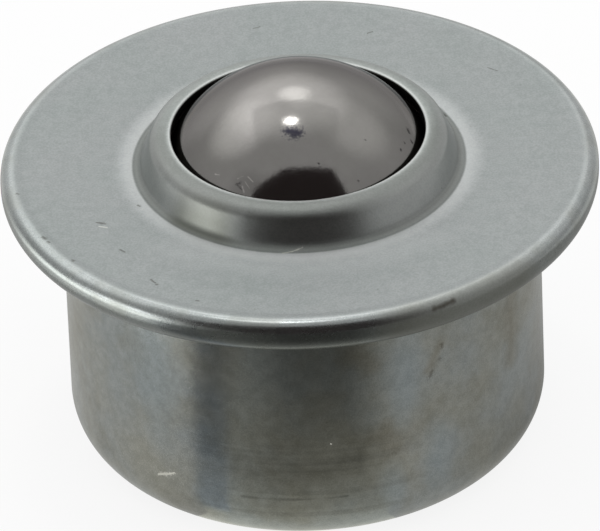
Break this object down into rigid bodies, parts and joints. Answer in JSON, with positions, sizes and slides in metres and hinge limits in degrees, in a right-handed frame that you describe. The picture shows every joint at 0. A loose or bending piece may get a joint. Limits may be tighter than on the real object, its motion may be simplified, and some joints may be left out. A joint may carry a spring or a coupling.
{
  "type": "ball transfer unit",
  "caption": "Drop-in ball transfer unit: a steel load ball held in a flanged pressed steel housing, turning freely on a bed of support balls in a hardened cup.",
  "frame": {"origin": "on the unit's axis at the seat plane, the underside of the flange, where the unit rests on the plate it drops into", "axes": "+Z along the axis, up out of the flange towards the load ball's top; +X is the direction a load moves when the ball rolls about +Y"},
  "size_m": [0.045, 0.045, 0.0305],
  "materials": {
    "zinc_plate": "bright zinc plated pressed steel, satin",
    "drawn_steel": "thin zinc plate over drawn steel, smooth, slightly stained",
    "ball_steel": "polished hardened steel",
    "bearing_steel": "polished hardened steel, oiled",
    "cup_steel": "hardened steel, ground race",
    "oiled_felt": "felt soaked in oil"
  },
  "bodies": {
    "casing": {"housing": "drawn_steel", "cover": "zinc_plate", "bearing_cup": "cup_steel", "seal_ring": "oiled_felt"},
    "ball_bed": {"support_ball_01": "bearing_steel", "support_ball_02": "bearing_steel", "support_ball_03": "bearing_steel", "support_ball_04": "bearing_steel", "support_ball_05": "bearing_steel", "support_ball_06": "bearing_steel", "support_ball_07": "bearing_steel", "support_ball_08": "bearing_steel", "support_ball_09": "bearing_steel", "support_ball_10": "bearing_steel", "support_ball_11": "bearing_steel", "support_ball_12": "bearing_steel", "support_ball_13": "bearing_steel", "support_ball_14": "bearing_steel", "support_ball_15": "bearing_steel", "support_ball_16": "bearing_steel", "support_ball_17": "bearing_steel", "support_ball_18": "bearing_steel", "support_ball_19": "bearing_steel", "support_ball_20": "bearing_steel", "support_ball_21": "bearing_steel", "support_ball_22": "bearing_steel", "support_ball_23": "bearing_steel", "support_ball_24": "bearing_steel", "support_ball_25": "bearing_steel", "support_ball_26": "bearing_steel", "support_ball_27": "bearing_steel", "support_ball_28": "bearing_steel", "support_ball_29": "bearing_steel", "support_ball_30": "bearing_steel", "support_ball_31": "bearing_steel", "support_ball_32": "bearing_steel", "support_ball_33": "bearing_steel", "support_ball_34": "bearing_steel", "support_ball_35": "bearing_steel", "support_ball_36": "bearing_steel", "support_ball_37": "bearing_steel", "support_ball_38": "bearing_steel", "support_ball_39": "bearing_steel", "support_ball_40": "bearing_steel", "support_ball_41": "bearing_steel", "support_ball_42": "bearing_steel", "support_ball_43": "bearing_steel", "support_ball_44": "bearing_steel", "support_ball_45": "bearing_steel", "support_ball_46": "bearing_steel", "support_ball_47": "bearing_steel", "support_ball_48": "bearing_steel", "support_ball_49": "bearing_steel", "support_ball_50": "bearing_steel", "support_ball_51": "bearing_steel", "support_ball_52": "bearing_steel", "support_ball_53": "bearing_steel"},
    "main_ball": {"load_ball": "ball_steel"}
  },
  "joints": [
    {"name": "bed_turn", "type": "hinge", "parent": "casing", "child": "ball_bed", "pos_m": [0, 0, -0.0013], "axis": [0, 0, 1], "continuous": true},
    {"name": "ball_roll", "type": "hinge", "parent": "ball_bed", "child": "main_ball", "pos_m": [0, 0, -0.0013], "axis": [0, 1, 0], "continuous": true}
  ]
}
